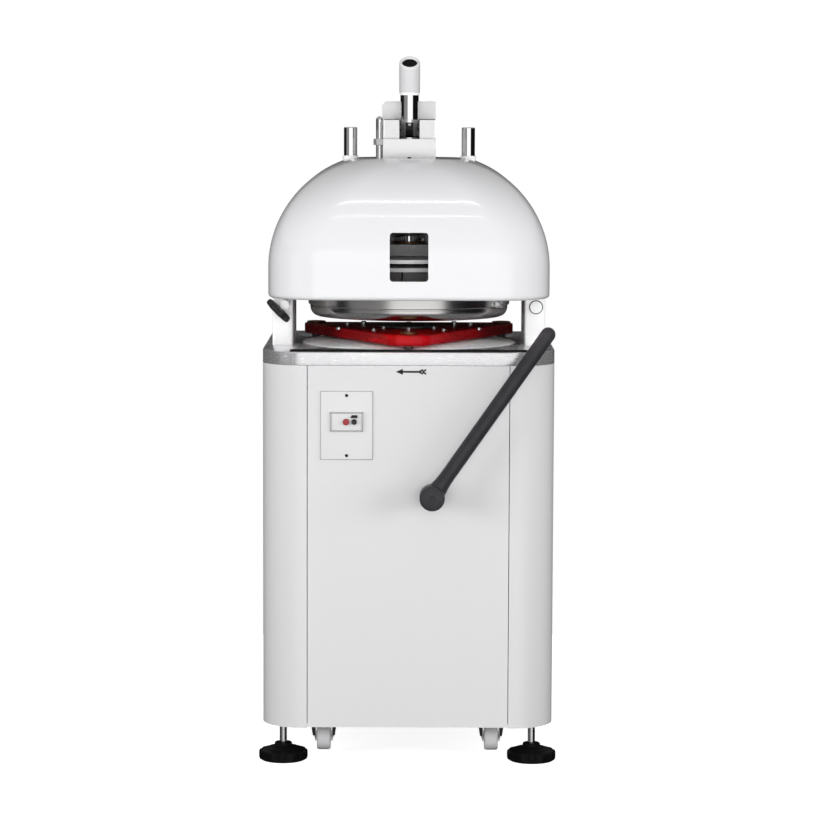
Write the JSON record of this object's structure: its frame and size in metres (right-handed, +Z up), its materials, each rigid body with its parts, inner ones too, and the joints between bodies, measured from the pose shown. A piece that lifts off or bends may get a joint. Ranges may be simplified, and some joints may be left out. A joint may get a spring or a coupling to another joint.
{
  "type": "divider rounder",
  "caption": "Free-standing bakery divider rounder: white cabinet on levelling feet, orbiting red plate carrier, domed head with cell ring, press lever and a side-swinging rounding lever.",
  "frame": {"origin": "on the floor under the press axis, midway between the four feet", "axes": "+Z up, the front panel faces -Y, +X to the right as seen from the front"},
  "size_m": [0.634, 0.715, 1.4999],
  "materials": {
    "white_paint": "glossy white powder coat",
    "white_gloss": "glossy white moulding",
    "stainless": "brushed stainless sheet",
    "frame_steel": "plain machined steel",
    "black_steel": "satin black paint",
    "motor_iron": "painted motor casting",
    "cast_alloy": "turned cast alloy",
    "chrome_steel": "bright chrome plate",
    "bronze": "plain bronze",
    "carrier_red": "glossy red paint on cast alloy",
    "stamp_plastic": "food grade plastic",
    "plate_plastic": "off-white plate",
    "black_plastic": "moulded black plastic",
    "red_plastic": "glossy red button",
    "lever_black": "textured black coating",
    "belt_rubber": "rubber belt",
    "wheel_grey": "grey castor wheel"
  },
  "bodies": {
    "machine": {"base_plate": "frame_steel", "base_frame": "frame_steel", "front_panel": "white_paint", "left_casing": "white_paint", "right_casing": "white_paint", "rear_panel": "white_paint", "table_top": "stainless", "drive_plate": "black_steel", "bearing_housings": "cast_alloy", "drive_motor": "motor_iron", "drive_belt": "belt_rubber", "rounding_bush": "bronze", "switch_plate": "plate_plastic", "switch_body": "black_plastic", "cable_gland": "black_plastic", "cover_screws": "chrome_steel", "castor_forks": "black_steel", "left_column": "white_paint", "right_column": "white_paint", "head_bridge": "cast_alloy", "guide_bushes": "bronze", "head_posts": "frame_steel", "dome_cover": "white_gloss", "lever_bracket": "white_paint", "bracket_cap": "white_paint", "ring_springs": "frame_steel", "press_spring": "frame_steel"},
    "ring_group": {"cell_ring": "cast_alloy", "knife_grid": "frame_steel", "ring_posts": "frame_steel", "ring_yoke": "frame_steel", "guide_rods": "chrome_steel"},
    "stamp_group": {"stamp_plate": "frame_steel", "press_stamps": "stamp_plastic", "press_spindle": "chrome_steel", "stop_rod": "chrome_steel", "stop_nut": "chrome_steel"},
    "press_handle": {"lever_cam": "chrome_steel", "press_lever": "chrome_steel", "lever_sleeve": "white_gloss", "lever_plug": "black_plastic"},
    "rounding_handle": {"rounding_shaft": "frame_steel", "rounding_lever": "lever_black"},
    "crank_front": {"front_crank": "frame_steel"},
    "crank_left": {"left_crank": "frame_steel", "driven_pulley": "cast_alloy"},
    "crank_right": {"right_crank": "frame_steel"},
    "motor_rotor": {"motor_pulley": "cast_alloy"},
    "carrier": {"orbit_carrier": "carrier_red", "carrier_caps": "bronze", "locating_pins": "frame_steel"},
    "knob": {"clamp_knob": "black_plastic"},
    "stop_push": {"stop_button": "red_plastic"},
    "start_push": {"start_button": "black_plastic"},
    "wheel_left": {"left_wheel": "wheel_grey"},
    "wheel_right": {"right_wheel": "wheel_grey"},
    "foot_front_left": {"front_left_foot": "black_plastic"},
    "foot_front_right": {"front_right_foot": "black_plastic"},
    "foot_rear_left": {"rear_left_foot": "black_plastic"},
    "foot_rear_right": {"rear_right_foot": "black_plastic"}
  },
  "joints": [
    {"name": "ring_slide", "type": "slide", "parent": "machine", "child": "ring_group", "axis": [0, 0, 1], "range_m": [-0.01, 0], "stiffness_N_per_m": 8000, "springref_m": 0.05, "deforming": ["ring_springs"]},
    {"name": "press_slide", "type": "slide", "parent": "machine", "child": "stamp_group", "axis": [0, 0, 1], "range_m": [-0.012, 0], "stiffness_N_per_m": 10000, "springref_m": 0.05, "deforming": ["press_spring"]},
    {"name": "press_lever_turn", "type": "hinge", "parent": "machine", "child": "press_handle", "pos_m": [0, 0.008, 1.345], "axis": [1, 0, 0], "range_deg": [0, 57.05]},
    {"name": "rounding_lever_turn", "type": "hinge", "parent": "machine", "child": "rounding_handle", "pos_m": [0.05, -0.36, 0.577], "axis": [0, -1, 0], "range_deg": [0, 70]},
    {"name": "left_crank_turn", "type": "hinge", "parent": "machine", "child": "crank_left", "pos_m": [-0.206, 0.119, 0.83], "axis": [0, 0, 1], "continuous": true},
    {"name": "front_crank_turn", "type": "hinge", "parent": "machine", "child": "crank_front", "pos_m": [0, -0.222, 0.83], "axis": [0, 0, 1], "continuous": true},
    {"name": "right_crank_turn", "type": "hinge", "parent": "machine", "child": "crank_right", "pos_m": [0.206, 0.119, 0.83], "axis": [0, 0, 1], "continuous": true},
    {"name": "motor_turn", "type": "hinge", "parent": "machine", "child": "motor_rotor", "pos_m": [0.06, 0.1, 0.777], "axis": [0, 0, 1], "continuous": true},
    {"name": "carrier_orbit", "type": "hinge", "parent": "crank_left", "child": "carrier", "pos_m": [-0.206, 0.109, 0.9], "axis": [0, 0, 1], "continuous": true},
    {"name": "clamp_knob_turn", "type": "hinge", "parent": "machine", "child": "knob", "pos_m": [-0.2665, -0.146, 0.966], "axis": [-0.7071, 0, -0.7071], "range_deg": [0, 180]},
    {"name": "stop_button_push", "type": "slide", "parent": "machine", "child": "stop_push", "axis": [0, 1, 0], "range_m": [0, 0.003], "stiffness_N_per_m": 400, "springref_m": -0.002},
    {"name": "start_button_push", "type": "slide", "parent": "machine", "child": "start_push", "axis": [0, 1, 0], "range_m": [0, 0.003], "stiffness_N_per_m": 400, "springref_m": -0.002},
    {"name": "left_wheel_spin", "type": "hinge", "parent": "machine", "child": "wheel_left", "pos_m": [-0.18, -0.205, 0.04], "axis": [1, 0, 0], "continuous": true},
    {"name": "right_wheel_spin", "type": "hinge", "parent": "machine", "child": "wheel_right", "pos_m": [0.18, -0.205, 0.04], "axis": [1, 0, 0], "continuous": true},
    {"name": "front_left_foot_screw", "type": "slide", "parent": "machine", "child": "foot_front_left", "axis": [0, 0, -1], "range_m": [0, 0.02]},
    {"name": "front_right_foot_screw", "type": "slide", "parent": "machine", "child": "foot_front_right", "axis": [0, 0, -1], "range_m": [0, 0.02]},
    {"name": "rear_left_foot_screw", "type": "slide", "parent": "machine", "child": "foot_rear_left", "axis": [0, 0, -1], "range_m": [0, 0.02]},
    {"name": "rear_right_foot_screw", "type": "slide", "parent": "machine", "child": "foot_rear_right", "axis": [0, 0, -1], "range_m": [0, 0.02]}
  ],
  "couplings": [
    {"joint": "press_lever_turn", "follows": "press_slide", "rad_per_m": -82.903},
    {"joint": "front_crank_turn", "follows": "left_crank_turn", "ratio": 1},
    {"joint": "right_crank_turn", "follows": "left_crank_turn", "ratio": 1},
    {"joint": "motor_turn", "follows": "left_crank_turn", "ratio": 2},
    {"joint": "carrier_orbit", "follows": "left_crank_turn", "ratio": -1}
  ]
}
